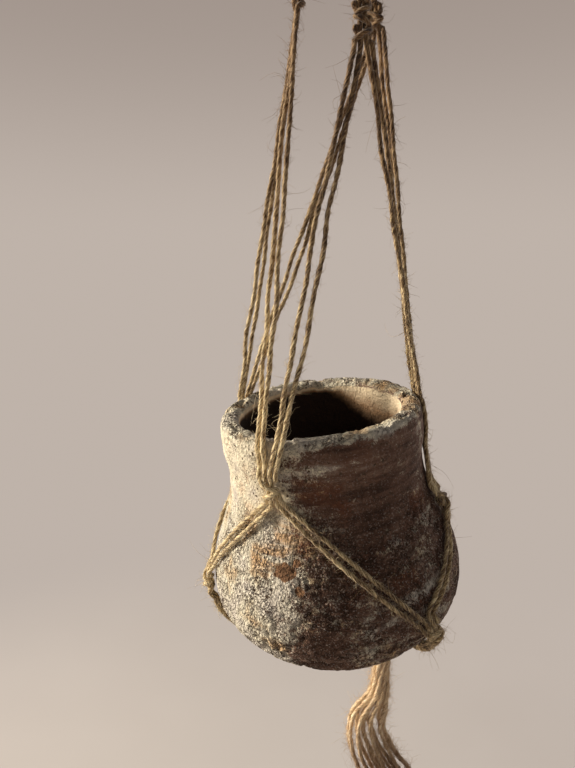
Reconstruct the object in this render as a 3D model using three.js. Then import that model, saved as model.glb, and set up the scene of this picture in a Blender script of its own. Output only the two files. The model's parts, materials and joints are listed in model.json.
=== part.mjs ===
// A hanging clay planter: a thrown clay pot in a knotted jute hanger with three legs, a ring and a tassel.
// Millimetres, +Z up. The origin is the point inside the top of the ring that rests on a hook.
// Azimuths are degrees about +Z from +X, seen from above, so -90 is the front.
import * as THREE from "three";

// Clay pot, a body of revolution about its own axis
const POT_HEIGHT = 130;
const LIP_RADIUS = 50;
const COLLAR_RADIUS = 52.5;
const COLLAR_DROP = 16;
const WAIST_RADIUS = 51;
const WAIST_DROP = 28;
const BELLY_RADIUS = 67.5;
const BELLY_HEIGHT = 37;
const FOOT_RADIUS = 26;
const WALL = 10;
const FLOOR = 11;
const FLOOR_RADIUS = 24;
const POT_LEAN = 7.5;
const POT_LEAN_AZIMUTH = -151;

// Jute yarn, and the gaps that it keeps to what it lies beside, lies on and runs into
const YARN = 2.5;
const YARN_GAP = 0.4;
const SEAT_GAP = 0.35;
const BUTT_GAP = 0.5;

// Ring, and the six cords that are folded over its wire
const RING_RADIUS = 20;
const RING_WIRE = 5;
const RING_CLEARANCE = 0.6;
const FOLD_DROP = 16;

// Whipping that binds the folded cords
const WRAP_LOOPS = 6;
const WRAP_GAP = 0.5;

// Legs: plain yarns, a column of square knots, then plain yarns down to the pot's lip
const UPPER_RUN = 46;
const SINNET_KNOTS = 5;
const SINNET_PITCH = 9.6;
const SINNET_WIDTH = 9.5;
const SINNET_THICKNESS = 6;
const LEG_DROP = 187;
const LIP_SEAT = 2;

// Square knots of the net
const KNOT_LENGTH = 9;
const KNOT_WIDTH = 11;
const KNOT_THICKNESS = 6.2;
const KNOT_VALLEY = 0.82;
const KNOT_FLAT = 0.4;
const KNOT_EXIT = 2.5;
const KNOT_BEND = 5;

// Gathering knot under the pot, and the tassel below it
const GATHER_OFFSET = 24.7;
const GATHER_DROP = 9;
const GATHER_RADIUS = 10;
const GATHER_SHOULDER = 8;
const GATHER_ROUND = Math.PI / 6;
const SLING_INSET = 6.5;
const SLING_NOTCH = 0.35;
const SLING_BEND_RISE = 4.05;
const SLING_BEND_OUT = 0.75;
const NECK_RADIUS = 6;
const NECK_WAIST = 5.4;
const NECK_LENGTH = 21;
const TASSEL_CLEARANCE = 0.4;
const TASSEL_INNER = 3;
const TASSEL_OUTER = 9;

// Facets
const POT_SEGMENTS = 40;
const FOOT_STEPS = 6;
const SHOULDER_STEPS = 7;
const COLLAR_STEPS = 2;
const INSIDE_STEPS = 5;
const FLOOR_STEPS = 4;
const RING_SEGMENTS = 24;
const WIRE_SIDES = 8;
const KNOT_SEGMENTS = 12;
const GATHER_SEGMENTS = 16;
const GATHER_STEPS = 6;
const YARN_SIDES = 6;
const FOLD_STEPS = 8;
const LOOP_STEPS = 24;
const LEG_STEPS = 5;
const NET_STEPS = 9;
const SLING_STEPS = 15;
const SLING_STEP_GROWTH = 1.5;
const TASSEL_SIDES = 8;
const TASSEL_STEPS = 12;

// Each leg: where its knots end, how much lower than the highest leg's, and where its two pairs cross the lip
const LEGS = [
  { name: "left", azimuth: -180, spread: 20, slack: 0, lipLeft: -215, lipRight: -123.5 },
  { name: "front", azimuth: -68, spread: 21.5, slack: 20, lipLeft: -113, lipRight: 4 },
  { name: "back", azimuth: 42, spread: 25, slack: 4, lipLeft: 12, lipRight: 138 },
];
// Upper knots lie to the right of the leg of the same number, lower knots to the left of the upper one
const UPPER_KNOTS = [
  { name: "front", azimuth: -119.5, drop: 21.5, turn: 0 },
  { name: "right", azimuth: -17, drop: 54.5, turn: 0 },
  { name: "back", azimuth: 140, drop: 38, turn: 0 },
];
// A knot's turn is how far its top leans to the left, seen from outside
const LOWER_KNOTS = [
  { name: "left", azimuth: -171, height: 39.5, turn: 0 },
  { name: "right", azimuth: -53, height: 29, turn: 28 },
  { name: "back", azimuth: 64, height: 36, turn: 0 },
];
// The outermost ways of the tassel's yarns from its neck, as [right, up]
const TASSEL_LEFT = [
  [0, 0], [0, -4], [-5, -10], [-11.5, -18], [-14, -27], [-14, -36], [-12.5, -44], [-10.5, -51],
  [-7, -59], [-3, -66], [0.5, -73], [3, -80], [4, -87], [4, -94],
];
const TASSEL_RIGHT = [
  [0, 0], [0.2, -4], [0, -10], [-1, -18], [-3, -26], [1, -35], [4.5, -43], [9, -51],
  [15, -59], [20, -66], [23.5, -73], [25.5, -80], [26.5, -88], [26.5, -95],
];

const CLAY = 0xa08a78;
const JUTE = 0xa98655;
const MATTE = 0.95;
const STEEL = 0x9a9a98;

const PITCH = YARN + YARN_GAP;
const ON_WALL = YARN / 2 + SEAT_GAP;
const UP = new THREE.Vector3(0, 0, 1);
const RIGHT_OF = 1;
const LEFT_OF = -1;

const planter = new THREE.Group();

function add(name, geometry, color, roughness, metalness = 0, parent = planter) {
  const mesh = new THREE.Mesh(geometry, new THREE.MeshStandardMaterial({ color, roughness, metalness }));
  mesh.name = name;
  parent.add(mesh);
  return mesh;
}

function polar(azimuth, radius, z) {
  const angle = THREE.MathUtils.degToRad(azimuth);
  return new THREE.Vector3(radius * Math.cos(angle), radius * Math.sin(angle), z);
}

// A way through chosen points, straight between them, with an optional outward side for a flat section
class Route extends THREE.Curve {
  constructor(points, outs = null) {
    super();
    this.points = points;
    this.outs = outs;
  }

  getUtoTmapping(u) {
    return u;
  }

  getPoint(t, target = new THREE.Vector3()) {
    const place = t * (this.points.length - 1);
    const index = Math.min(Math.floor(place), this.points.length - 2);
    return target.lerpVectors(this.points[index], this.points[index + 1], place - index);
  }

  getTangent(t, target = new THREE.Vector3()) {
    const index = Math.round(t * (this.points.length - 1));
    const here = this.points[index];
    const before = this.points[Math.max(index - 1, 0)];
    const after = this.points[Math.min(index + 1, this.points.length - 1)];
    const arriving = here.clone().sub(before).normalize();
    const leaving = after.clone().sub(here).normalize();
    return target.copy(arriving.add(leaving)).normalize();
  }

  computeFrenetFrames(segments, closed) {
    if (!this.outs) return super.computeFrenetFrames(segments, closed);
    const tangents = this.points.map((_, index) => this.getTangent(index / segments));
    const binormals = tangents.map((tangent, index) => tangent.clone().cross(this.outs[index]).normalize());
    const normals = binormals.map((binormal, index) => binormal.clone().cross(tangents[index]));
    return { tangents, normals, binormals };
  }
}

function roundSection(diameter, sides) {
  const corners = [];
  for (let i = 0; i < sides; i++) {
    const angle = (2 * Math.PI * i) / sides;
    corners.push(new THREE.Vector2(Math.cos(angle), Math.sin(angle)).multiplyScalar(diameter / 2));
  }
  return new THREE.Shape(corners);
}

function sweep(section, route) {
  const steps = route.points.length - 1;
  return new THREE.ExtrudeGeometry(section, { extrudePath: route, steps, curveSegments: 1 });
}

function addJute(name, geometry) {
  return add(name, geometry, JUTE, MATTE);
}

function addYarn(name, points, sides = YARN_SIDES) {
  addJute(name, sweep(roundSection(YARN, sides), new Route(points)));
}

// Two yarns side by side along one way, spread square to it and to the outward side
function pairOf(points, outs) {
  const way = new Route(points);
  return [-0.5, 0.5].map((share) =>
    points.map((point, index) => {
      const tangent = way.getTangent(index / (points.length - 1));
      const across = tangent.cross(outs[index]).normalize();
      return point.clone().addScaledVector(across, share * PITCH);
    }),
  );
}

// Pot outline, as radii at a height above the base
const waistHeight = POT_HEIGHT - WAIST_DROP;
const collarHeight = POT_HEIGHT - COLLAR_DROP;
const mouthRadius = COLLAR_RADIUS - WALL;

function swell(from, to, share) {
  return to + ((from - to) * (1 + Math.cos(Math.PI * share))) / 2;
}

function outerRadius(z) {
  if (z <= BELLY_HEIGHT) {
    const share = 1 - Math.max(z, 0) / BELLY_HEIGHT;
    return FOOT_RADIUS + (BELLY_RADIUS - FOOT_RADIUS) * Math.sqrt(1 - share ** 2);
  }
  if (z <= waistHeight) {
    return swell(BELLY_RADIUS, WAIST_RADIUS, (z - BELLY_HEIGHT) / (waistHeight - BELLY_HEIGHT));
  }
  if (z <= collarHeight) {
    return swell(WAIST_RADIUS, COLLAR_RADIUS, (z - waistHeight) / (collarHeight - waistHeight));
  }
  const rounding = Math.min((z - collarHeight) / COLLAR_DROP, 1);
  return LIP_RADIUS + (COLLAR_RADIUS - LIP_RADIUS) * Math.sqrt(1 - rounding ** 4);
}

function innerRadius(z) {
  if (z <= FLOOR) return 0;
  if (z <= BELLY_HEIGHT) {
    const share = (BELLY_HEIGHT - z) / (BELLY_HEIGHT - FLOOR);
    return FLOOR_RADIUS + (BELLY_RADIUS - WALL - FLOOR_RADIUS) * Math.sqrt(1 - share ** 2);
  }
  return z < collarHeight ? outerRadius(z) - WALL : mouthRadius;
}

function stretch(from, to, steps, radius) {
  const points = [];
  for (let i = 1; i <= steps; i++) {
    const z = from + ((to - from) * i) / steps;
    points.push(new THREE.Vector2(radius(z), z));
  }
  return points;
}

function potGeometry() {
  const footArc = new THREE.EllipseCurve(
    FOOT_RADIUS, BELLY_HEIGHT, BELLY_RADIUS - FOOT_RADIUS, BELLY_HEIGHT, -Math.PI / 2, 0,
  );
  const hollowWidth = BELLY_RADIUS - WALL - FLOOR_RADIUS;
  const floorArc = new THREE.EllipseCurve(
    FLOOR_RADIUS, BELLY_HEIGHT, hollowWidth, BELLY_HEIGHT - FLOOR, 0, -Math.PI / 2, true,
  );
  const outline = [
    new THREE.Vector2(0, 0),
    ...footArc.getPoints(FOOT_STEPS),
    ...stretch(BELLY_HEIGHT, waistHeight, SHOULDER_STEPS, outerRadius),
    ...stretch(waistHeight, collarHeight, COLLAR_STEPS, outerRadius),
    ...stretch(collarHeight, POT_HEIGHT - LIP_SEAT, COLLAR_STEPS, outerRadius),
    ...stretch(POT_HEIGHT - LIP_SEAT, POT_HEIGHT, COLLAR_STEPS, outerRadius),
    new THREE.Vector2(mouthRadius, POT_HEIGHT),
    new THREE.Vector2(mouthRadius, collarHeight),
    new THREE.Vector2(innerRadius(waistHeight), waistHeight),
    ...stretch(waistHeight, BELLY_HEIGHT, INSIDE_STEPS, innerRadius).slice(0, -1),
    ...floorArc.getPoints(FLOOR_STEPS),
    new THREE.Vector2(0, FLOOR),
  ];
  return new THREE.LatheGeometry(outline, POT_SEGMENTS).rotateX(Math.PI / 2);
}

// The height of the pot's own balance point, so that it hangs plumb below the ring
function balanceHeight() {
  const slices = 2 * POT_HEIGHT;
  let volume = 0;
  let moment = 0;
  for (let i = 0; i < slices; i++) {
    const z = ((i + 0.5) * POT_HEIGHT) / slices;
    const area = outerRadius(z) ** 2 - innerRadius(z) ** 2;
    volume += area;
    moment += area * z;
  }
  return moment / volume;
}

// Levels from the ring down
const wireZ = RING_WIRE / 2 - 2 * RING_RADIUS;
const wrapTopZ = wireZ - FOLD_DROP;
const wrapPitch = YARN + WRAP_GAP;
const wrapBottomZ = wrapTopZ - WRAP_LOOPS * wrapPitch - YARN;
const sinnetLength = SINNET_KNOTS * SINNET_PITCH;
const legBottomZ = wrapBottomZ - UPPER_RUN - sinnetLength;
const lipZ = legBottomZ - LEG_DROP;

// The pot leans, with its balance point on the vertical through the ring
const potAxis = polar(POT_LEAN_AZIMUTH, Math.sin(THREE.MathUtils.degToRad(POT_LEAN)), 0);
potAxis.z = Math.sqrt(1 - potAxis.lengthSq());
const balance = balanceHeight();
const pot = new THREE.Group();
pot.quaternion.setFromUnitVectors(UP, potAxis);
pot.position.set(0, 0, lipZ - (POT_HEIGHT - balance) * potAxis.z).addScaledVector(potAxis, -balance);
pot.updateMatrixWorld(true);
planter.add(pot);
add("clay_pot", potGeometry(), CLAY, MATTE, 0, pot);

function wallSlope(z) {
  const reach = 0.05;
  return (outerRadius(z + reach) - outerRadius(z - reach)) / (2 * reach);
}

function wallOut(azimuth, z) {
  const slope = wallSlope(z);
  return polar(azimuth, 1, -slope).normalize().applyQuaternion(pot.quaternion);
}

function wallPoint({ azimuth, z }, off = ON_WALL) {
  return pot.localToWorld(polar(azimuth, outerRadius(z), z)).addScaledVector(wallOut(azimuth, z), off);
}

function degreesAcross(distance, z) {
  return THREE.MathUtils.radToDeg(distance / outerRadius(z));
}

// The places on the wall that a taut yarn lies over between two places on it
function tautWay(from, to, steps) {
  const roundsPerStep = 40;
  const rounds = roundsPerStep * steps;
  const way = [];
  for (let i = 0; i <= steps; i++) {
    const share = i / steps;
    way.push({
      azimuth: THREE.MathUtils.lerp(from.azimuth, to.azimuth, share),
      z: THREE.MathUtils.lerp(from.z, to.z, share),
    });
  }
  const spot = ({ azimuth, z }) => polar(azimuth, outerRadius(z), z);
  for (let round = 0; round < rounds; round++) {
    for (let i = 1; i < steps; i++) {
      const middle = spot(way[i - 1]).add(spot(way[i + 1])).multiplyScalar(0.5);
      const turn = THREE.MathUtils.radToDeg(Math.atan2(middle.y, middle.x)) - way[i].azimuth;
      way[i].azimuth += turn - 360 * Math.round(turn / 360);
      way[i].z = middle.z;
    }
  }
  return way;
}

// Where a knot sits: its middle, the way up along the yarns, outwards, and to the right seen from outside
function knotFrame(middle, up, out, length) {
  const right = up.clone().cross(out).normalize();
  const place = { middle, up, right, out: right.clone().cross(up).normalize(), length };
  const beyond = (row, end, reach) =>
    middle.clone().addScaledVector(right, row * PITCH).addScaledVector(up, end * (length / 2 + reach));
  place.port = (row, end) => beyond(row, end, BUTT_GAP);
  place.stub = (row, end) => [beyond(row, end, BUTT_GAP), beyond(row, end, BUTT_GAP + KNOT_EXIT)];
  return place;
}

function wallKnot({ name, azimuth, z, turn }) {
  const out = wallOut(azimuth, z);
  const up = wallPoint({ azimuth, z: z + 1 }).sub(wallPoint({ azimuth, z: z - 1 })).normalize();
  up.applyAxisAngle(out, THREE.MathUtils.degToRad(turn));
  const middle = wallPoint({ azimuth, z }, KNOT_THICKNESS / 2 + SEAT_GAP);
  return { name, azimuth, z, turn, ...knotFrame(middle, up, out, KNOT_LENGTH) };
}

// A flat column of rounded knots, drawn in between them
function addKnots(name, frame, count, width, thickness) {
  const pitch = frame.length / count;
  const outline = [new THREE.Vector2(0, -frame.length / 2)];
  for (let i = 0; i < count; i++) {
    const foot = -frame.length / 2 + i * pitch;
    outline.push(new THREE.Vector2(KNOT_VALLEY, foot));
    outline.push(new THREE.Vector2(1, foot + ((1 - KNOT_FLAT) / 2) * pitch));
    outline.push(new THREE.Vector2(1, foot + ((1 + KNOT_FLAT) / 2) * pitch));
  }
  outline.push(new THREE.Vector2(KNOT_VALLEY, frame.length / 2), new THREE.Vector2(0, frame.length / 2));
  const geometry = new THREE.LatheGeometry(outline, KNOT_SEGMENTS).scale(width / 2, 1, thickness / 2);
  const mesh = addJute(name, geometry);
  const turned = new THREE.Matrix4().makeBasis(frame.right, frame.up, frame.out);
  mesh.applyMatrix4(turned.setPosition(frame.middle));
}

// Hanging ring
const ringGeometry = new THREE.TorusGeometry(RING_RADIUS, RING_WIRE / 2, WIRE_SIDES, RING_SEGMENTS);
const ring = add("hang_ring", ringGeometry, STEEL, 0.35, 1);
ring.rotation.x = Math.PI / 2;
ring.position.z = RING_WIRE / 2 - RING_RADIUS;

// Legs' columns of knots: each hangs from its own block of four yarns in the whipping
function legBlock(index) {
  const blocks = [new THREE.Vector2(-1, 0), new THREE.Vector2(0.5, -1), new THREE.Vector2(0.5, 1)];
  return blocks[index].multiplyScalar(PITCH);
}

const sinnets = LEGS.map((leg, index) => {
  const block = legBlock(index);
  const start = new THREE.Vector3(block.x, block.y, wrapBottomZ - YARN);
  const end = polar(leg.azimuth, leg.spread, legBottomZ - leg.slack);
  const up = start.clone().sub(end).normalize();
  const middle = end.clone().addScaledVector(up, sinnetLength / 2);
  return { ...leg, block, start, ...knotFrame(middle, up, polar(leg.azimuth, 1, 0), sinnetLength) };
});
for (const sinnet of sinnets) {
  addKnots(`${sinnet.name}_leg_knots`, sinnet, SINNET_KNOTS, SINNET_WIDTH, SINNET_THICKNESS);
}

// Six cords folded over the ring: three abreast, in two layers, each half running down to a leg
function halfCord(column, row, foldRadius) {
  const sinnet = sinnets[column < 0 ? 0 : row < 0 ? 1 : 2];
  const x = column * PITCH;
  const y = row * PITCH;
  const away = new THREE.Vector3(x - sinnet.block.x, y - sinnet.block.y, 0);
  away.addScaledVector(sinnet.up, -away.dot(sinnet.up));
  const foldZ = foldCentreZ(x);
  return [
    new THREE.Vector3(x, Math.sign(row) * foldRadius, foldZ),
    new THREE.Vector3(x, (Math.sign(row) * foldRadius + y) / 2, (foldZ + wrapTopZ) / 2),
    new THREE.Vector3(x, y, wrapTopZ),
    new THREE.Vector3(x, y, wrapBottomZ - YARN),
    sinnet.port(0, 1).add(away),
  ];
}

function foldCentreZ(x) {
  return RING_WIRE / 2 - RING_RADIUS - Math.sqrt(RING_RADIUS ** 2 - x ** 2);
}

let cordNumber = 0;
for (const column of [-1, 0, 1]) {
  for (const layer of [0, 1]) {
    const radius = RING_WIRE / 2 + RING_CLEARANCE + YARN / 2 + layer * PITCH;
    const row = 0.5 + layer;
    const fold = [];
    for (let i = 1; i < FOLD_STEPS; i++) {
      const angle = Math.PI * (1 - i / FOLD_STEPS);
      const x = column * PITCH;
      fold.push(new THREE.Vector3(x, radius * Math.cos(angle), foldCentreZ(x) + radius * Math.sin(angle)));
    }
    const front = halfCord(column, -row, radius).reverse();
    const back = halfCord(column, row, radius);
    cordNumber += 1;
    addYarn(`folded_cord_${cordNumber}`, [...front, ...fold, ...back]);
  }
}

// Whipping: one yarn wound round the twelve, with both ends straight
function whippingPoints() {
  const corner = Math.hypot(PITCH, 1.5 * PITCH);
  const radius = corner + YARN + SEAT_GAP;
  const points = [];
  const steps = WRAP_LOOPS * LOOP_STEPS;
  for (let i = 0; i <= steps; i++) {
    points.push(polar((360 * i) / LOOP_STEPS, radius, wrapTopZ - YARN / 2 - (wrapPitch * i) / LOOP_STEPS));
  }
  const first = points[0].clone().sub(points[1]).setLength(YARN).add(points[0]);
  const last = points[steps].clone().sub(points[steps - 1]).setLength(YARN).add(points[steps]);
  return [first, ...points, last];
}

function leastGap(points, diameter, apart) {
  let least = Infinity;
  for (let i = 0; i < points.length; i++) {
    for (let j = i + apart; j < points.length; j++) {
      least = Math.min(least, points[i].distanceTo(points[j]) - diameter);
    }
  }
  return least;
}

const whipping = whippingPoints();
console.log(`top_whipping: least gap to itself ${leastGap(whipping, YARN, LOOP_STEPS / 2).toFixed(2)} mm`);
addYarn("top_whipping", whipping);

// Net: upper knots, lower knots and the yarn pairs that join them
const upperKnots = UPPER_KNOTS.map((knot) => wallKnot({ ...knot, z: POT_HEIGHT - knot.drop }));
const lowerKnots = LOWER_KNOTS.map((knot) => wallKnot({ ...knot, z: knot.height }));
for (const knot of upperKnots) addKnots(`${knot.name}_upper_knot`, knot, 2, KNOT_WIDTH, KNOT_THICKNESS);
for (const knot of lowerKnots) addKnots(`${knot.name}_lower_knot`, knot, 2, KNOT_WIDTH, KNOT_THICKNESS);

// The place on the wall that yarns reach when they have run straight out of a knot's end
function stubPlace(knot, side, end) {
  const reach = new THREE.Vector2(side * PITCH, end * (KNOT_LENGTH / 2 + BUTT_GAP + KNOT_BEND));
  reach.rotateAround(new THREE.Vector2(), THREE.MathUtils.degToRad(knot.turn));
  const z = knot.z + reach.y;
  return { azimuth: knot.azimuth + degreesAcross(reach.x, z), z };
}

function addPair(name, points, outs) {
  pairOf(points, outs).forEach((yarn, index) => addYarn(`${name}_yarn_${index + 1}`, yarn));
}

// The same places, lifted off the wall where a taut yarn spans a hollow in it
function bridged(points, outs) {
  const last = points.length - 1;
  return points.map((point, index) => {
    const chord = points[0].clone().lerp(points[last], index / last);
    return point.clone().addScaledVector(outs[index], Math.max(chord.sub(point).dot(outs[index]), 0));
  });
}

// From a leg, over the lip and down to an upper knot
function addLegPair(sinnet, lipAzimuth, knot, legSide) {
  const lip = { azimuth: lipAzimuth, z: POT_HEIGHT - LIP_SEAT };
  const end = stubPlace(knot, -legSide, 1);
  end.azimuth += 360 * Math.round((lipAzimuth - end.azimuth) / 360);
  const way = tautWay(lip, end, LEG_STEPS);
  const starting = sinnet.stub(legSide, -1);
  const wallOuts = way.map(({ azimuth, z }) => wallOut(azimuth, z));
  const overWall = bridged(way.map((place) => wallPoint(place)), wallOuts);
  const halfway = starting[1].clone().add(overWall[0]).multiplyScalar(0.5);
  const points = [...starting, halfway, ...overWall, ...knot.stub(-legSide, 1).reverse()];
  const halfwayOut = sinnet.out.clone().add(wallOuts[0]).normalize();
  const outs = [sinnet.out, sinnet.out, halfwayOut, ...wallOuts, knot.out, knot.out];
  addPair(`${sinnet.name}_leg_to_${knot.name}`, points, outs);
}

LEGS.forEach((leg, index) => {
  addLegPair(sinnets[index], leg.lipRight, upperKnots[index], RIGHT_OF);
  addLegPair(sinnets[index], leg.lipLeft, upperKnots[(index + 2) % 3], LEFT_OF);
});

// From an upper knot, taut over the wall to a lower knot on its left or right
function addNetPair(upper, lower, side) {
  const start = stubPlace(upper, side, -1);
  const end = stubPlace(lower, -side, 1);
  end.azimuth += 360 * Math.round((start.azimuth - end.azimuth) / 360);
  const way = tautWay(start, end, NET_STEPS);
  const ending = lower.stub(-side, 1).reverse();
  const wallOuts = way.map(({ azimuth, z }) => wallOut(azimuth, z));
  const points = [...upper.stub(side, -1), ...way.map((place) => wallPoint(place)), ...ending];
  const outs = [upper.out, upper.out, ...wallOuts, lower.out, lower.out];
  addPair(`net_${upper.name}_to_${lower.name}`, points, outs);
}

upperKnots.forEach((upper, index) => {
  addNetPair(upper, lowerKnots[index], LEFT_OF);
  addNetPair(upper, lowerKnots[(index + 1) % 3], RIGHT_OF);
});

// Gathering knot: round below, about the point that the tassel swings on
const gatherTop = pot.localToWorld(new THREE.Vector3(GATHER_OFFSET, 0, 0)).addScaledVector(UP, -GATHER_DROP);
const gatherArc = new THREE.EllipseCurve(
  0, -GATHER_RADIUS, GATHER_RADIUS, GATHER_RADIUS, GATHER_ROUND, -Math.PI / 2, true,
);
const gatherOutline = [
  new THREE.Vector2(0, 0),
  new THREE.Vector2(GATHER_SHOULDER, 0),
  ...gatherArc.getPoints(GATHER_STEPS),
].reverse();
const gatherGeometry = new THREE.LatheGeometry(gatherOutline, GATHER_SEGMENTS).rotateX(Math.PI / 2);
addJute("gathering_knot", gatherGeometry).position.copy(gatherTop);

// Slings: four yarns side by side from each lower knot, under the pot to the gathering knot
function underPlace(x, y) {
  const radius = Math.hypot(x, y);
  const across = Math.min(Math.max((radius - FOOT_RADIUS) / (BELLY_RADIUS - FOOT_RADIUS), 0), 1);
  const down = Math.sqrt(1 - across ** 2);
  const out = new THREE.Vector2(across / (BELLY_RADIUS - FOOT_RADIUS), -down / BELLY_HEIGHT).normalize();
  const normal = new THREE.Vector3((out.x * x) / radius, (out.x * y) / radius, out.y);
  normal.applyQuaternion(pot.quaternion);
  const point = pot.localToWorld(new THREE.Vector3(x, y, BELLY_HEIGHT * (1 - down)));
  return { point: point.addScaledVector(normal, ON_WALL), out: normal };
}

function fourAbreast() {
  const half = 2 * YARN;
  const lobe = YARN / 2;
  const notch = SLING_NOTCH * YARN;
  const edge = [];
  for (let i = 0; i < 4; i++) {
    edge.push([notch, i * YARN - half], [lobe, (i + 0.5) * YARN - half]);
  }
  edge.push([notch, half]);
  const outside = edge.map(([x, y]) => new THREE.Vector2(x, y));
  return new THREE.Shape([...outside, new THREE.Vector2(-lobe, half), new THREE.Vector2(-lobe, -half)]);
}

function addSling(knot) {
  const low = stubPlace(knot, 0, -1);
  const start = polar(low.azimuth, outerRadius(Math.min(low.z, BELLY_HEIGHT)), 0);
  const towards = new THREE.Vector3(GATHER_OFFSET, 0, 0).sub(start).setZ(0);
  const run = towards.length() - SLING_INSET - 2 * YARN;
  towards.normalize();
  const way = [];
  for (let i = 0; i <= SLING_STEPS; i++) {
    const reach = run * (i / SLING_STEPS) ** SLING_STEP_GROWTH;
    way.push(underPlace(start.x + reach * towards.x, start.y + reach * towards.y));
  }
  const inwards = towards.clone().applyQuaternion(pot.quaternion).setZ(0).normalize();
  const landing = gatherTop.clone().addScaledVector(inwards, -SLING_INSET).addScaledVector(UP, BUTT_GAP);
  const bend = landing.clone().addScaledVector(UP, SLING_BEND_RISE).addScaledVector(inwards, -SLING_BEND_OUT);
  const points = [...knot.stub(0, -1), ...way.map((place) => place.point), bend, landing];
  const outs = [knot.out, knot.out, ...way.map((place) => place.out), inwards.clone().sub(UP), inwards];
  addJute(`${knot.name}_sling`, sweep(fourAbreast(), new Route(points, outs)));
}

lowerKnots.forEach(addSling);

// Tassel: a bound neck that clears the round of the gathering knot, and twelve loose yarns
const neckTop = gatherTop.clone().addScaledVector(UP, -2 * GATHER_RADIUS - TASSEL_CLEARANCE);
const neckOutline = [
  new THREE.Vector2(0, -NECK_LENGTH),
  new THREE.Vector2(NECK_RADIUS, -NECK_LENGTH),
  new THREE.Vector2(NECK_WAIST, -NECK_LENGTH / 2),
  new THREE.Vector2(NECK_RADIUS, 0),
  new THREE.Vector2(0, 0),
];
const neckGeometry = new THREE.LatheGeometry(neckOutline, KNOT_SEGMENTS).rotateX(Math.PI / 2);
addJute("tassel_neck", neckGeometry).position.copy(neckTop);

// A few yarns in the middle of the neck and the rest round them
function tasselPlaces() {
  const inner = PITCH / Math.sqrt(3);
  const outer = inner + PITCH;
  const places = [];
  for (let i = 0; i < TASSEL_INNER; i++) places.push(polar((360 * i) / TASSEL_INNER, inner, 0));
  for (let i = 0; i < TASSEL_OUTER; i++) places.push(polar((360 * i) / TASSEL_OUTER, outer, 0));
  return places.map((place) => ({ place, share: (outer - place.x) / (2 * outer) }));
}

const neckFoot = neckTop.clone().addScaledVector(UP, -NECK_LENGTH - SEAT_GAP);
tasselPlaces().forEach(({ place, share }, index) => {
  const guide = TASSEL_LEFT.map(([x, z], i) => {
    const [otherX, otherZ] = TASSEL_RIGHT[i];
    const spread = 1 + i / TASSEL_LEFT.length;
    const right = place.x + THREE.MathUtils.lerp(otherX, x, share);
    return new THREE.Vector3(right, place.y * spread, THREE.MathUtils.lerp(otherZ, z, share)).add(neckFoot);
  });
  const route = new THREE.CatmullRomCurve3(guide).getSpacedPoints(TASSEL_STEPS);
  addYarn(`tassel_yarn_${index + 1}`, route, TASSEL_SIDES);
});

export default planter;
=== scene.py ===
import json
import math
import random
from collections import namedtuple

import bmesh
import bpy
import numpy as np
from mathutils import Matrix, Vector, noise


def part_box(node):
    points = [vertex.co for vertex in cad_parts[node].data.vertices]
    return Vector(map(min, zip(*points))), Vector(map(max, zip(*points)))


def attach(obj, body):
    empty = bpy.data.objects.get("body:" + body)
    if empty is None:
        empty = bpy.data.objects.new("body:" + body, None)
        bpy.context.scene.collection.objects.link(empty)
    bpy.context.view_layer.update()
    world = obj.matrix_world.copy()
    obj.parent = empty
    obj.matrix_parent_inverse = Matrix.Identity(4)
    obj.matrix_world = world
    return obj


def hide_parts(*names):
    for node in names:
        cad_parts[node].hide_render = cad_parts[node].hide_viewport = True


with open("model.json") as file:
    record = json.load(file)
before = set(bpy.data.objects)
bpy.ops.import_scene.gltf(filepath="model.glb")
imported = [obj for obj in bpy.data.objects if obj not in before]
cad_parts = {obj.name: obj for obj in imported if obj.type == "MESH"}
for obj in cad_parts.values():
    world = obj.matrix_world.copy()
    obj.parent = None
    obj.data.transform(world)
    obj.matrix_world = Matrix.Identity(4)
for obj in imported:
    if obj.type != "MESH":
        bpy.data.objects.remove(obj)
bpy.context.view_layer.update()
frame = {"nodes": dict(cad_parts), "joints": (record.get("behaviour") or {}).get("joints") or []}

SEED = 11
dice = random.Random(SEED)
noise.seed_set(SEED)

UP = Vector((0, 0, 1))
FULL_TURN = 2 * math.pi
MERGE = 1e-6

# Clay pot, metres, heights from its base along its own axis
POT_HEIGHT = 0.130
LIP_RADIUS = 0.050
COLLAR_RADIUS = 0.0525
COLLAR_HEIGHT = 0.114
WAIST_RADIUS = 0.051
WAIST_HEIGHT = 0.102
BELLY_RADIUS = 0.0675
BELLY_HEIGHT = 0.037
FOOT_RADIUS = 0.026
WALL = 0.010
FLOOR = 0.011
FLOOR_RADIUS = 0.024
MOUTH_RADIUS = COLLAR_RADIUS - WALL
MOUTH_ROUND = 0.003
POT_TURNS = 400
OUTSIDE_STEP = 0.00095
INSIDE_STEP = 0.004
WALL_STEPS = 120
INNER_STEPS = 14

# Relief of the clay: depths, widths, and the heights over which it comes or goes
BULGE_DEPTH = 0.0006
BULGE_WIDTH = 0.034
RING_DEPTH = 0.0003
RING_PITCH = 0.0030
RING_RUN = 0.06
CRUST_DEPTH = 0.0014
CRACK_WIDTH = 0.0029
LUMP_WIDTH = 0.008
HOLE_WIDTH = 0.006
CLUMP_DEPTH = 0.0014
CLUMP_WIDTH = 0.0046
CLUMP_FADE = (0.015, 0.055)
PROUD = 0.0005
SMOOTH_GRIT = 0.35
GRIT_FADE = (0.075, 0.100)
RIM_RISE = (0.1255, 0.1290)
LIP_RISE = (0.118, 0.129)
LIP_WAVE = 0.0009
CHIP_DEPTH = 0.0013
CHIP_WIDTH = 0.0065

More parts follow.
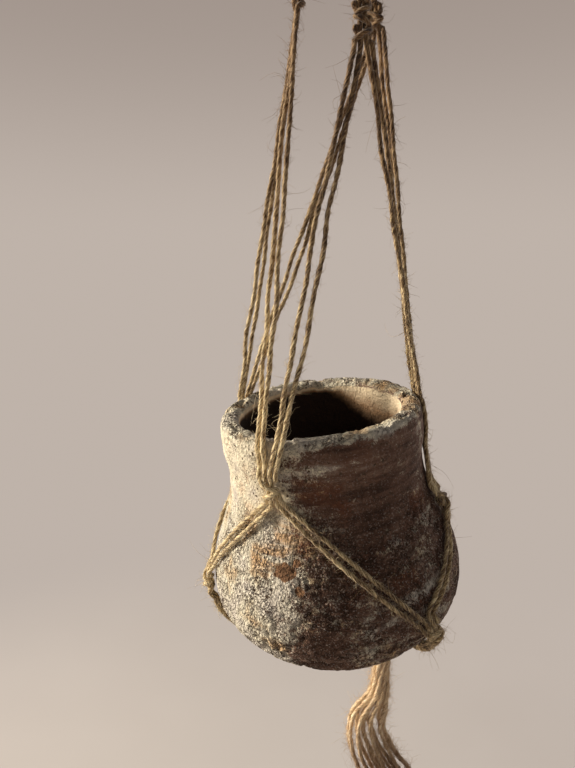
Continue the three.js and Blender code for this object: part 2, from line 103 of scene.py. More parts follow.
# Where wash and lining grow paler and darker: painted light on the wash's lit side and near the foot,
# painted shade on the front collar and in the lining away from the light, and a darker patch low on the
# front; azimuths in degrees, and heights
WASH_LIT_AZIMUTH = -165
FRONT_AZIMUTH = -85
LINING_LIT_AZIMUTH = -5
DARK_PATCH_AZIMUTH = -103
DARK_PATCH_HEIGHT = 0.026
DARK_PATCH_REACH = (0.008, 0.022)
FRONT_SHADE_RISE = (0.074, 0.090)
FOOT_BOUNCE_FADE = (0.02, 0.05)
LINING_SHADE_DEPTH = 0.045

# Marks on the clay, in the order that clay_surface gives them
CLAY_LOOKS = ("relief", "wash", "bare", "rust", "grit", "inside")

# Patches of bare and of rusty clay as azimuth, height and size, wider than high
BARE_PATCHES = (
    (-115, 0.068, 0.0078), (-109, 0.0725, 0.0030), (-108, 0.0605, 0.0038),
    (70, 0.060, 0.0066), (20, 0.085, 0.0050),
)
RUST_PATCHES = (
    (-99, 0.105, 0.017), (-86, 0.096, 0.012), (-112, 0.084, 0.018), (-126, 0.074, 0.017),
    (-104, 0.048, 0.010), (-62, 0.058, 0.012), (-40, 0.086, 0.014), (60, 0.090, 0.018),
    (150, 0.072, 0.018), (10, 0.045, 0.014),
)
PATCH_SQUASH = 1.3

# A patch's edge: how ragged, how wide the rags are, and the shares of its size between which it fades
Edge = namedtuple("Edge", "ragged width core rim")
BARE_EDGE = Edge(0.22, 0.003, 0.45, 0.95)
RUST_EDGE = Edge(0.5, 0.009, 0.2, 1)

# Jute yarn, spun from two plies
YARN = 0.0025
YARN_PITCH = 0.0029
PLY_PITCH = 0.0125
YARN_STEP = 0.0007
YARN_SIDES = 6
SECTION_POINTS = 10
SECTION_PINCH = 0.64
LUMPINESS = 0.22
LUMP_PACE = 0.09
FIBRE_LENGTH = 0.0065
PARTING = 0.0009
NET_PARTING = 0.8
LAP = 0.0012

# A hand-laid yarn drifts aside, but holds still at its ends and where it comes to rest on the clay
DRIFT_SPACING = 0.022
DRIFT_RAMP = 6
LANDING = 0.03

# How a yarn stays off the clay between the foot and the lip
CLEARANCE = 0.00165
FOOT_MARGIN = 0.002
LIP_MARGIN = 0.004
SLOPE_STEP = 0.0005

# Stray fibres: fine hairs, a few of them long wisps
HAIR_RADIUS = 0.00009
HAIR_ROOT = 0.42
HAIR_TAPER = 0.7
SHORTEST_HAIR = 0.0008
LONGEST_HAIR = 0.008
BENT_HAIR = 0.0025
HAIR_LEAN = (0.4, 1.3)
LEAST_STAND_OFF = 0.2
SWAY_PACE = 3.6
WISP_SHARE = 0.014
WISP_LENGTH = (0.006, 0.013)
HAIR_GAP = 0.0003
LIP_GAP = 0.001
MOUTH_GAP = 0.0005

# Square knots: reach to each side, and how far the working yarns stand to the front and the back
KNOT_YARNS = 4
KNOT_REACH = 0.0040
KNOT_FRONT = 0.0023
KNOT_BACK = 0.0019
BACK_REACH = 1.1
FILLER_REACH = 0.0013
FILLER_INSET = 0.2
COLUMN_HALVES = 10
COLUMN_HALF_LENGTH = 0.024
NET_HALVES = 2

# A working yarn's way through half a knot, as shares down, across and forward
CROSSING = ((0.0, -1.0, -0.35), (0.26, -0.55, 0.95), (0.5, 0.0, 1.1), (0.74, 0.55, 0.95))

# Slings draw into a bundle of two on two, then run into the gathering knot
SLING_SIDES = 11
DRAWN_FROM = 0.002
DRAWN_TO = 0.013
BUNDLE_WIDTH = 0.98
BUNDLE_RISE = 0.92
SUNK_SHARE = 0.5

# Gathering knot: turns of yarn aslant over a ball, almost from pole to pole
BALL_TURNS = 7
BALL_STEPS = 40
BALL_POLE = 18
BALL_SLANT = (32, 14)

# Tassel: the outermost ways of its yarns from its neck, as right and up
TASSEL_LEFT = (
    (0, 0), (0, -0.004), (-0.005, -0.010), (-0.0115, -0.018), (-0.014, -0.027), (-0.014, -0.036),
    (-0.0125, -0.044), (-0.0105, -0.051), (-0.007, -0.059), (-0.003, -0.066), (0.0005, -0.073),
    (0.003, -0.080), (0.004, -0.087), (0.004, -0.094),
)
TASSEL_RIGHT = (
    (0, 0), (0.0002, -0.004), (0, -0.010), (-0.001, -0.018), (-0.003, -0.026), (0.001, -0.035),
    (0.0045, -0.043), (0.009, -0.051), (0.015, -0.059), (0.020, -0.066), (0.0235, -0.073),
    (0.0255, -0.080), (0.0265, -0.088), (0.0265, -0.095),
)
TASSEL_INNER = 3
TASSEL_OUTER = 9
SPLAY = 0.007
UNEVEN_CUT = 9
SEAT_GAP = 0.00035
NECK_PULL = 0.18
NECK_TWIST = 0.9

# Yarn pairs, named by where they come from and where they go
LEG_PAIRS = (
    ("left", "front"), ("left", "back"), ("front", "right"),
    ("front", "front"), ("back", "back"), ("back", "right"),
)
NET_PAIRS = (
    ("front", "left"), ("front", "right"), ("right", "right"),
    ("right", "back"), ("back", "back"), ("back", "left"),
)
LEGS = ("left", "front", "back")
UPPER_KNOTS = ("front", "right", "back")
LOWER_KNOTS = ("left", "right", "back")
FOLDED_CORDS = 6

# Regions of yarn: body, looks of yarn and hair, fullness, hairs on a metre, their stand-off and usual length
Region = namedtuple("Region", "body yarn hair fullness hairs stand_off hair_length")
REGIONS = {
    "top": Region("hanger", "jute_yarn", "jute_hair", 0.98, 1200, 1.0, 0.0015),
    "leg": Region("hanger", "jute_yarn", "jute_hair", 0.98, 2600, 0.9, 0.0013),
    "net": Region("hanger", "jute_yarn", "jute_hair", 0.88, 3000, 0.9, 0.0014),
    "tassel": Region("tassel", "jute_ends", "tassel_hair", 1.0, 5000, 0.45, 0.0032),
}

# Looks of jute: pale, mid and dark fibres, bump, and the heights between which it grows browner
# Painted shade: the legs grow browner upwards; the tassel grows browner towards its lower ends
LEG_SHADE_HEIGHTS = (-0.36, -0.19)
TASSEL_DARKENING = (-0.548, -0.600)
JUTE_LOOKS = {
    "jute_yarn": ((0.90, 0.73, 0.43), (0.42, 0.28, 0.136), (0.105, 0.058, 0.028), 1.0, LEG_SHADE_HEIGHTS),
    # Tassel ends and stray hairs are paler: partly their own paler fibre, partly painted light where sun and
    # back light catch them
    "jute_ends": ((0.97, 0.80, 0.56), (0.90, 0.66, 0.41), (0.44, 0.265, 0.135), 1.0, TASSEL_DARKENING),
    "jute_hair": ((0.86, 0.75, 0.53), (0.70, 0.56, 0.35), (0.48, 0.34, 0.18), 0.1, LEG_SHADE_HEIGHTS),
    "tassel_hair": ((0.95, 0.80, 0.58), (0.84, 0.64, 0.41), (0.55, 0.38, 0.21), 0.1, TASSEL_DARKENING),
}
DARKENED_JUTE = (0.42, 0.33, 0.275, 1)
# Painted light: where along x the jute grows paler on the lit left side
JUTE_LIT_SIDE = (0.0, -0.045)

# Colours of the clay, from its body to its lining
BODY_RAMP = (
    (0.30, (0.072, 0.038, 0.026)), (0.46, (0.170, 0.092, 0.063)),
    (0.58, (0.245, 0.145, 0.102)), (0.74, (0.44, 0.345, 0.285)),
)
CHALK_RAMP = (
    (0.28, (0.60, 0.53, 0.455)), (0.42, (0.79, 0.69, 0.545)), (0.54, (0.88, 0.78, 0.59)),
    (0.64, (0.78, 0.60, 0.43)), (0.74, (0.70, 0.47, 0.24)),
)
FROST_RAMP = (
    (0.28, (0.76, 0.68, 0.61)), (0.42, (0.92, 0.83, 0.69)), (0.54, (0.95, 0.86, 0.67)),
    (0.62, (0.86, 0.66, 0.43)), (0.72, (0.72, 0.46, 0.24)),
)
BARE_RAMP = ((0.35, (0.20, 0.105, 0.055)), (0.65, (0.31, 0.165, 0.088)))
# Lining: bare tan clay at the mouth, darkening with depth, partly darker inner clay, partly painted shade
LINING_SHADE_RAMP = ((0.24, (0.90, 0.72, 0.50)), (0.44, (0.30, 0.18, 0.10)), (0.62, (0.024, 0.014, 0.010)))
RED_CLAY = (0.18, 0.080, 0.048, 1)
RUSTY_CLAY = (0.165, 0.060, 0.030, 1)
RUSTY_WASH = (0.66, 0.40, 0.20, 1)
# Painted shade in crust gaps, cracks and hollows, partly darker clay in the cracks
CREVICE_SHADE_COLOUR = (0.070, 0.036, 0.021, 1)
# Painted shade in small pits
PIT_SHADE_COLOUR = (0.12, 0.078, 0.050, 1)
FLECK_COLOUR = (0.55, 0.45, 0.40, 1)

# Ring and stage: colours, the floor's height, and where floor and backdrop fade
STEEL_RAMP = ((0.3, (0.42, 0.40, 0.37)), (0.7, (0.60, 0.59, 0.57)))
FLOOR_RAMP = ((0.3, (0.58, 0.525, 0.50)), (0.7, (0.61, 0.555, 0.53)))
FLOOR_FADE = (1.5, 2.6)
GROUND = -1.5
BACKDROP = (0.52, 0.45, 0.40, 1)
# Painted shade: the backdrop darkens towards the top
BACKDROP_SHADED_TOP = (0.36, 0.30, 0.265, 1)
BACKDROP_RISE = (0.02, 0.40)

# Camera, and the lamps as name, place from the pot's middle, size, power and colour
EYE = (-0.0249, -0.2968, -0.2803)
LOOK_DOWN = 12.4
POT_MIDDLE = Vector((0, 0, -0.43))
ROOM_COLOUR = (1.0, 0.96, 0.94)
LAMPS = (
    ("low_sun", (-4.28, 0.68, 1.20), 0.80, 345, (1.0, 0.93, 0.79)),
    ("room", (1.2, -1.6, 0.7), 1.6, 3, ROOM_COLOUR),
    ("back_room", (1.9, 1.7, 0.5), 1.8, 26, ROOM_COLOUR),
)


def make_camera():
    data = bpy.data.cameras.new("camera")
    data.lens = 27.05
    data.sensor_width = 36
    data.clip_start = 0.01
    camera = new_object("camera", data)
    camera.location = EYE
    camera.rotation_euler = (math.radians(90 - LOOK_DOWN), 0, 0)
    bpy.context.scene.camera = camera


def make_lights():
    for name, offset, size, power, colour in LAMPS:
        data = bpy.data.lights.new(name, "AREA")
        data.size = size
        data.energy = power
        data.color = colour
        light = new_object(name, data)
        light.location = POT_MIDDLE + Vector(offset)
        light.rotation_euler = (-Vector(offset)).to_track_quat("-Z", "Y").to_euler()


# Surroundings that light the part dimly but look like a pale backdrop
def make_world():
    world = bpy.data.worlds.new("studio")
    world.use_nodes = True
    bpy.context.scene.world = world
    tree = world.node_tree
    dim = tree.nodes["Background"]
    dim.inputs["Color"].default_value = (1.0, 0.96, 0.92, 1)
    dim.inputs["Strength"].default_value = 0.118
    heading = node_of(tree, "TexCoord", {})["Generated"]
    # Painted shade: the backdrop grows darker upwards
    high = step_of(part_of(heading, "Z"), *BACKDROP_RISE)
    pale = next_node("Background", {"Color": mixed(high, BACKDROP, BACKDROP_SHADED_TOP)})[0]
    path = node_of(tree, "LightPath", {})
    seen = combined("MAXIMUM", path["Is Camera Ray"], path["Is Glossy Ray"])
    seen = combined("MAXIMUM", seen, path["Is Transmission Ray"])
    mix_shaders(seen, dim.outputs[0], pale, "World Output")


# Floor that fades to the backdrop far away
def make_floor():
    material, tree, shader = new_material("pale_floor", {"Roughness": 0.9})
    place = object_place(tree)
    tone = noise_of(place, 3.0, detail=2.0)
    tree.links.new(ramp_of(tone, FLOOR_RAMP), shader.inputs["Base Color"])
    away = next_node("VectorMath", {0: place}, operation="LENGTH")["Value"]
    seen = node_of(tree, "LightPath", {})["Is Camera Ray"]
    far = times(step_of(away, *FLOOR_FADE), seen)
    pale = node_of(tree, "Emission", {"Color": BACKDROP})[0]
    mix_shaders(far, shader.outputs[0], pale, "Material Output")
    bm = bmesh.new()
    bmesh.ops.create_grid(bm, x_segments=1, y_segments=1, size=12)
    bmesh.ops.translate(bm, verts=bm.verts, vec=(0, 0, GROUND))
    floor = mesh_object("floor", bm)
    floor.data.materials.append(material)


# The outputs of a new node, with its settings made and its inputs linked or set
def node_of(tree, kind, inputs, **settings):
    node = tree.nodes.new("ShaderNode" + kind)
    for name, value in settings.items():
        setattr(node, name, value)
    for name, value in inputs.items():
        if isinstance(value, bpy.types.NodeSocket):
            tree.links.new(value, node.inputs[name])
        else:
            node.inputs[name].default_value = value
    return node.outputs


# The same, in the tree of the first input that is linked
def next_node(kind, inputs, **settings):
    linked = [value for value in inputs.values() if isinstance(value, bpy.types.NodeSocket)]
    return node_of(linked[0].id_data, kind, inputs, **settings)


def new_material(name, looks):
    material = bpy.data.materials.new(name)
    material.use_nodes = True
    tree = material.node_tree
    shader = tree.nodes["Principled BSDF"]
    for look, value in looks.items():
        shader.inputs[look].default_value = value
    return material, tree, shader


def object_place(tree):
    return node_of(tree, "TexCoord", {})["Object"]


def placed(vector, location=(0, 0, 0), rotation=(0, 0, 0), scale=(1, 1, 1), kind="POINT"):
    inputs = {"Vector": vector, "Location": location, "Rotation": rotation, "Scale": scale}
    return next_node("Mapping", inputs, vector_type=kind)["Vector"]


def part_of(vector, letter):
    return next_node("SeparateXYZ", {0: vector})[letter]


def noise_of(vector, scale, detail=3, roughness=0.5):
    inputs = {"Vector": vector, "Scale": scale, "Detail": detail, "Roughness": roughness}
    return next_node("TexNoise", inputs)["Fac"]


def cells_of(vector, scale):
    return next_node("TexVoronoi", {"Vector": vector, "Scale": scale})["Distance"]


def attribute_of(tree, name, output="Fac"):
    return node_of(tree, "Attribute", {}, attribute_name=name)[output]


# Shifts a place by noise, so that a pattern on it loses its even shapes
def warped(vector, scale, amount):
    shift = next_node("TexNoise", {"Vector": vector, "Scale": scale})["Color"]
    inputs = {0: shift, 1: (amount, amount, amount), 2: vector}
    return next_node("VectorMath", inputs, operation="MULTIPLY_ADD")[0]


def ramp_of(value, stops):
    tree = value.id_data
    ramp = tree.nodes.new("ShaderNodeValToRGB")
    elements = ramp.color_ramp.elements
    while len(elements) < len(stops):
        elements.new(0.5)
    for element, (place, colour) in zip(elements, stops):
        element.position = place
        element.color = (*colour, 1)
    tree.links.new(value, ramp.inputs["Fac"])
    return ramp.outputs["Color"]


def combined(operation, first, second):
    return next_node("Math", {0: first, 1: second}, operation=operation)[0]


def plus(first, second):
    return combined("ADD", first, second)


def less(first, second):
    return combined("SUBTRACT", first, second)


def times(first, second):
    return combined("MULTIPLY", first, second)


# A pattern about its middle of one half, made stronger or weaker
def weighted(value, weight):
    return times(less(value, 0.5), weight)


def step_of(value, low, high):
    inputs = {"Value": value, "From Min": low, "From Max": high}
    return next_node("MapRange", inputs, interpolation_type="SMOOTHSTEP")["Result"]


def mixed(share, first, second, blend="MIX"):
    inputs = {0: share, 6: first, 7: second}
    return next_node("Mix", inputs, data_type="RGBA", blend_type=blend)[2]


def mix_shaders(share, first, second, output):
    either = next_node("MixShader", {0: share, 1: first, 2: second})[0]
    tree = share.id_data
    tree.links.new(either, tree.nodes[output].inputs["Surface"])


def bump_into(shader, height, strength, distance):
    inputs = {"Height": height, "Strength": strength, "Distance": distance}
    shader.id_data.links.new(next_node("Bump", inputs)["Normal"], shader.inputs["Normal"])


def jute_group():
    group = bpy.data.node_groups.new("jute_fibre", "ShaderNodeTree")
    for name in ("Pale", "Mid", "Dark"):
        group.interface.new_socket(name, in_out="INPUT", socket_type="NodeSocketColor")
    group.interface.new_socket("Colour", in_out="OUTPUT", socket_type="NodeSocketColor")
    group.interface.new_socket("Height", in_out="OUTPUT", socket_type="NodeSocketFloat")
    given = group.nodes.new("NodeGroupInput").outputs
    made = group.nodes.new("NodeGroupOutput").inputs
    place = object_place(group)
    along = attribute_of(group, "fibre", "Vector")
    patches = noise_of(place, 120)
    flecks = noise_of(place, 1500, detail=2, roughness=0.6)
    fibres = noise_of(along, 1.5, roughness=0.65)
    # Painted shade in the groove between the two plies
    ply_groove_shade = step_of(combined("ABSOLUTE", part_of(along, "Y"), 0.0), 0.50, 0.12)
    # Painted light: jute is paler on the lit left side of the hanger
    lit_jute_side = step_of(part_of(place, "X"), *JUTE_LIT_SIDE)
    tone = plus(patches, weighted(fibres, 2.2))
    tone = plus(tone, weighted(flecks, 0.6))
    tone = less(tone, times(ply_groove_shade, 0.15))
    tone = plus(tone, times(lit_jute_side, 0.17))
    warm = mixed(step_of(tone, 0.18, 0.52), given["Dark"], given["Mid"])
    colour = mixed(step_of(tone, 0.48, 0.82), warm, given["Pale"])
    group.links.new(colour, made["Colour"])
    group.links.new(plus(fibres, weighted(flecks, 0.3)), made["Height"])
    return group


# The yarn is browner towards one end of a span of heights: painted shade towards the top of the legs, and
# darker towards the tassel's lower ends
def jute_material(name, group, pale, mid, dark, bump, darkening):
    looks = {"Roughness": 0.92, "Sheen Weight": 0.25, "Sheen Roughness": 0.6, "Specular IOR Level": 0.2}
    material, tree, shader = new_material(name, looks)
    tints = {"Pale": (*pale, 1), "Mid": (*mid, 1), "Dark": (*dark, 1)}
    fibre = node_of(tree, "Group", tints, node_tree=group)
    darkened = step_of(part_of(object_place(tree), "Z"), *darkening)
    colour = mixed(darkened, fibre["Colour"], DARKENED_JUTE, "MULTIPLY")
    tree.links.new(colour, shader.inputs["Base Color"])
    bump_into(shader, fibre["Height"], bump, distance=0.0004)
    return material


# Clay: patterns that its colours share
Clay = namedtuple("Clay", "place grit fine patches streaks grains veins stain")


def clay_patterns(tree):
    place = placed(object_place(tree), pot_base, pot_turn.to_euler(), kind="TEXTURE")
    fine = noise_of(place, 1500, roughness=0.6)
    patches = noise_of(place, 38, detail=4, roughness=0.6)
    streaks = noise_of(placed(place, scale=(1, 1, 9)), 26, detail=5, roughness=0.65)
    cells = cells_of(warped(place, 500, amount=0.0014), 700)
    grains = plus(cells, weighted(noise_of(place, 900, detail=2), -1.6))
    level = noise_of(warped(place, 300, amount=0.002), 430, detail=2)
    veins = step_of(combined("ABSOLUTE", less(level, 0.5), 0.0), 0.060, 0.020)
    thick = noise_of(placed(place, (7, 4, 5)), 90)
    veins = times(veins, step_of(thick, 0.34, 0.60))
    stain = plus(attribute_of(tree, "rust"), weighted(patches, 1.2))
    stain = times(step_of(stain, 0.25, 0.85), step_of(streaks, 0.34, 0.56))
    return Clay(place, attribute_of(tree, "grit"), fine, patches, streaks, grains, veins, stain)


def body_colour(clay):
    body = ramp_of(plus(clay.streaks, weighted(clay.patches, 0.8)), BODY_RAMP)
    red = step_of(noise_of(clay.place, 52), 0.54, 0.68)
    body = mixed(times(red, 0.6), body, RED_CLAY)
    return mixed(times(clay.stain, 0.8), body, RUSTY_CLAY)


def wash_colour(clay):
    tints = noise_of(placed(clay.place, (3, 1, 2)), 60, roughness=0.55)
    gritty = step_of(clay.grit, 0.45, 0.95)
    wash = mixed(gritty, ramp_of(tints, CHALK_RAMP), ramp_of(tints, FROST_RAMP))
    return mixed(times(clay.stain, 0.85), wash, RUSTY_WASH)


def wash_cover(tree, clay):
    stretched = placed(clay.place, (5, 2, 8), scale=(1, 1, 1.8))
    worn = noise_of(stretched, 105, roughness=0.6)
    ragged = noise_of(clay.place, 430, roughness=0.7)
    cover = attribute_of(tree, "wash")
    for pattern, weight in (
        (clay.patches, 0.7), (clay.streaks, 0.5), (worn, 1.05), (clay.fine, 0.9), (ragged, 0.8),
    ):
        cover = plus(cover, weighted(pattern, weight))
    return step_of(cover, 0.36, 0.66)


# Painted shade in the crust: darker in the gaps between grains, in the cracks, partly darker clay there, and
# in the relief's hollows
def crevice_shade(tree, clay):
    gaps = step_of(plus(clay.grains, weighted(clay.fine, 0.5)), 0.46, 0.80)
    gaps = combined("MAXIMUM", times(gaps, 0.35), times(clay.veins, 0.95))
    shaded_hollows = less(1.0, attribute_of(tree, "relief"))
    return combined("MAXIMUM", times(gaps, clay.grit), times(shaded_hollows, 0.5))


def clay_material():
    material, tree, shader = new_material("lime_washed_clay", {"Roughness": 0.93, "Specular IOR Level": 0.2})
    clay = clay_patterns(tree)
    colour = mixed(wash_cover(tree, clay), body_colour(clay), wash_colour(clay))

    bare = plus(attribute_of(tree, "bare"), weighted(clay.fine, 0.6))
    bare = step_of(bare, 0.35, 0.60)
    crusted = less(1.0, bare)
    body = ramp_of(noise_of(clay.place, 210), BARE_RAMP)
    colour = mixed(bare, colour, body)
    colour = mixed(times(crevice_shade(tree, clay), crusted), colour, CREVICE_SHADE_COLOUR)
    # Painted shade in small pits in the wash
    dots = cells_of(warped(clay.place, 160, amount=0.006), 250)
    pits = step_of(plus(dots, weighted(clay.fine, 0.25)), 0.09, 0.20)
    colour = mixed(pits, PIT_SHADE_COLOUR, colour)
    flecks = noise_of(placed(clay.place, (2, 9, 4)), 1100, detail=2)
    flecks = times(step_of(flecks, 0.56, 0.70), 0.75)
    flecks = times(times(flecks, clay.grit), crusted)
    colour = mixed(flecks, colour, FLECK_COLOUR, "LIGHTEN")

    depth = attribute_of(tree, "inside")
    # The lining darkens with depth and on the side away from the light: painted shade
    lining = ramp_of(plus(depth, weighted(clay.patches, 0.5)), LINING_SHADE_RAMP)
    colour = mixed(step_of(depth, 0.0, 0.06), colour, lining)
    tree.links.new(colour, shader.inputs["Base Color"])

    pebbles = less(times(clay.grains, -0.8), clay.veins)
    height = plus(times(pebbles, clay.grit), times(clay.fine, 0.45))
    height = plus(height, times(pits, 0.5))
    bump_into(shader, height, strength=1.0, distance=0.0014)
    return material


def steel_material():
    material, tree, shader = new_material("brushed_ring_steel", {"Roughness": 0.35, "Metallic": 1})
    place = object_place(tree)
    scratches = noise_of(placed(place, scale=(1, 14, 1)), 420)
    dull = noise_of(place, 160)
    tree.links.new(ramp_of(dull, STEEL_RAMP), shader.inputs["Base Color"])
    tree.links.new(step_of(dull, -0.6, 2.0), shader.inputs["Roughness"])
    bump_into(shader, scratches, strength=0.25, distance=0.0002)
    return material


def new_object(name, data):
    made = bpy.data.objects.new(name, data)
    bpy.context.scene.collection.objects.link(made)
    return made


def mesh_object(name, bm):
    mesh = bpy.data.meshes.new(name)
    bm.to_mesh(mesh)
    bm.free()
    return new_object(name, mesh)


def dress(piece, body, material, slot, *nodes):
    piece.data.materials.clear()
    piece.data.materials.append(material)
    piece.data.shade_smooth()
    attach(piece, body)
    if nodes:
        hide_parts(*nodes)


def mean(points):
    return sum(points, Vector()) / len(points)


def smooth_step(value, low, high):
    share = min(max((value - low) / (high - low), 0), 1)
    return share * share * (3 - 2 * share)


# Noise from -1 to 1 as a share from 0 to 1
def to_share(value):
    return 0.5 + 0.5 * value


# The flat end of a CAD tube: a patch of faces whose every border folds sharply
def end_ring(solid, sides):
    flat = math.radians(2)
    sharp = math.radians(75)
    for seed in solid.faces:
        patch = [seed]
        for face in patch:
            for edge in face.edges:
                if edge.calc_face_angle() < flat:
                    patch.extend(other for other in edge.link_faces if other not in patch)
        borders = {edge for face in patch for edge in face.edges if edge.calc_face_angle() >= flat}
        if len(borders) == sides and min(edge.calc_face_angle() for edge in borders) > sharp:
            return {vert for face in patch for vert in face.verts}
    raise ValueError("no flat end")


# The rings of points along a CAD tube, from its upper end to its lower one
def cad_rings(name, sides):
    solid = bmesh.new()
    solid.from_mesh(frame["nodes"][name].data)
    bmesh.ops.remove_doubles(solid, verts=solid.verts, dist=MERGE)
    solid.normal_update()
    solid.verts.index_update()
    ring = end_ring(solid, sides)
    seen = set(ring)
    rings = []
    while ring:
        rings.append([vert.co.copy() for vert in sorted(ring, key=lambda vert: vert.index)])
        ring = {edge.other_vert(vert) for vert in ring for edge in vert.link_edges} - seen
        seen |= ring
    solid.free()
    return rings if mean(rings[0]).z > mean(rings[-1]).z else rings[::-1]


def cad_way(name):
    return [mean(ring) for ring in cad_rings(name, YARN_SIDES)]


# Evenly spaced points along straight stretches
def even(points, step=YARN_STEP):
    lengths = [(after - before).length for before, after in zip(points, points[1:])]
    count = max(round(sum(lengths) / step), 2)
    spacing = sum(lengths) / count
    spaced = [points[0].copy()]
    passed = 0
    for before, after, length in zip(points, points[1:], lengths):
        while len(spaced) < count and len(spaced) * spacing <= passed + length:
            spaced.append(before.lerp(after, (len(spaced) * spacing - passed) / length))
        passed += length
    return spaced + [points[-1].copy()]


# Corners drawn round, with the two ends kept
def eased(points, rounds):
    places = np.array([tuple(point) for point in points])
    for _ in range(rounds):
        places[1:-1] = (places[:-2] + 2 * places[1:-1] + places[2:]) / 4
    return [Vector(place) for place in places]


# Small sideways drift of a hand-laid yarn, none at its ends or below where it rests
def drifted(points, amount, spacing=DRIFT_SPACING, rest=GROUND):
    seed = Vector([dice.uniform(0, 50) for _ in range(3)])
    last = len(points) - 1
    moved = []
    for index, point in enumerate(points):
        hold = min(1, DRIFT_RAMP * index / last, DRIFT_RAMP * (last - index) / last)
        free = smooth_step(point.z, rest, rest + LANDING)
        moved.append(point + noise.noise_vector(point / spacing + seed) * amount * (hold * free))
    return moved


# The two yarns of a pair part a little between their knots
def parted(points, shift, rest=GROUND):
    last = len(points) - 1
    moved = []
    for index, point in enumerate(points):
        free = smooth_step(point.z, rest, rest + LANDING)
        moved.append(point + shift * math.sin(math.pi * index / last) * free)
    return moved


# Each yarn of a pair: its name, its CAD way and its share of the gap
def pair_yarns(start):
    names = [f"{start}_yarn_{number}" for number in (1, 2)]
    ways = [cad_way(name) for name in names]
    apart = ways[1][len(ways[1]) // 2] - ways[0][len(ways[0]) // 2]
    shift = apart.normalized() * PARTING
    return zip(names, ways, (-shift, shift))


def laid(points, rounds, drift):
    return drifted(eased(even(points), rounds), drift)


# Section of a two-ply yarn, two lobes that press together
def make_section():
    data = bpy.data.curves.new("yarn_section", "CURVE")
    data.dimensions = "2D"
    spline = data.splines.new("POLY")
    spline.use_cyclic_u = True
    spline.points.add(SECTION_POINTS - 1)
    for index, point in enumerate(spline.points):
        angle = FULL_TURN * index / SECTION_POINTS
        lobes = math.sqrt(SECTION_PINCH + (1 - SECTION_PINCH) * math.cos(angle) ** 2)
        reach = 0.52 * YARN * lobes
        point.co = (reach * math.cos(angle), reach * math.sin(angle), 0, 1)
    return new_object("yarn_section", data)


def curve_piece(name, data):
    curve = new_object(name + "_curve", data)
    shown = curve.evaluated_get(bpy.context.evaluated_depsgraph_get())
    mesh = bpy.data.meshes.new_from_object(shown)
    mesh.name = name
    bpy.data.objects.remove(curve)
    bpy.data.curves.remove(data)
    return new_object(name, mesh)


# A point as the pot sees it, from its base and along its axis
def from_pot(point):
    return pot_turn.inverted() @ (point - pot_base)


# Moves a way out to where a yarn just clears the outside of the clay
def cleared(points):
    moved = []
    for point in points:
        local = from_pot(point)
        around = math.hypot(local.x, local.y)
        if FOOT_MARGIN < local.z < POT_HEIGHT - LIP_MARGIN and around > MOUTH_RADIUS:
            rise = outer_radius(local.z + SLOPE_STEP) - outer_radius(local.z - SLOPE_STEP)
            slope = rise / (2 * SLOPE_STEP)
            lean = 1 / math.hypot(1, slope)
            short = CLEARANCE - (around - outer_radius(local.z)) * lean
            if short > 0:
                outward = Vector((local.x / around, local.y / around, -slope)) * lean
                point = point + pot_turn @ outward * short
        moved.append(point)
    return moved


# Spins two-ply yarn along each way, slightly thicker and thinner along its length
def spun(name, ways, region, *nodes):
    if region in ("leg", "net"):
        ways = [cleared(way) for way in ways]
    kind = REGIONS[region]
    data = bpy.data.curves.new(name, "CURVE")
    data.dimensions = "3D"
    data.bevel_mode = "OBJECT"
    data.bevel_object = section
    for way in ways:
        spline = data.splines.new("POLY")
        spline.points.add(len(way) - 1)
        start = dice.uniform(0, FULL_TURN)
        lump = dice.uniform(0, 90)
        for index, (point, place) in enumerate(zip(spline.points, way)):
            point.co = (*place, 1)
            point.tilt = start + FULL_TURN * index * YARN_STEP / PLY_PITCH
            swollen = LUMPINESS * noise.noise(Vector((index * LUMP_PACE, lump, 0)))
            point.radius = kind.fullness * (1 + swollen)
    piece = curve_piece(name, data)
    close_ends(piece.data)
    mark_fibres(piece.data, ways)
    dress(piece, kind.body, jute[kind.yarn], "jute", *nodes)
    strands[region].extend(ways)
    return piece


def close_ends(mesh):
    bm = bmesh.new()
    bm.from_mesh(mesh)
    bmesh.ops.holes_fill(bm, edges=bm.edges, sides=0)
    bmesh.ops.recalc_face_normals(bm, faces=bm.faces)
    bm.to_mesh(mesh)
    bm.free()


# Marks each point with its place along the yarn and around it, for fibres that follow the twist
def mark_fibres(mesh, ways):
    marks = []
    for way in ways:
        shift = dice.uniform(0, 40)
        for index in range(len(way)):
            for corner in range(SECTION_POINTS):
                angle = FULL_TURN * corner / SECTION_POINTS
                marks.extend((shift + index * YARN_STEP / FIBRE_LENGTH, math.cos(angle), math.sin(angle)))
    layer = mesh.attributes.new("fibre", "FLOAT_VECTOR", "POINT")
    layer.data.foreach_set("vector", marks)


def outer_radius(z):
    if z <= BELLY_HEIGHT:
        share = 1 - max(z, 0) / BELLY_HEIGHT
        return FOOT_RADIUS + (BELLY_RADIUS - FOOT_RADIUS) * math.sqrt(1 - share ** 2)
    if z <= WAIST_HEIGHT:
        return swell(BELLY_RADIUS, WAIST_RADIUS, (z - BELLY_HEIGHT) / (WAIST_HEIGHT - BELLY_HEIGHT))
    if z <= COLLAR_HEIGHT:
        return swell(WAIST_RADIUS, COLLAR_RADIUS, (z - WAIST_HEIGHT) / (COLLAR_HEIGHT - WAIST_HEIGHT))
    rounding = min((z - COLLAR_HEIGHT) / (POT_HEIGHT - COLLAR_HEIGHT), 1)
    return LIP_RADIUS + (COLLAR_RADIUS - LIP_RADIUS) * math.sqrt(1 - rounding ** 4)


def swell(first, last, share):
    return last + (first - last) * (1 + math.cos(math.pi * share)) / 2


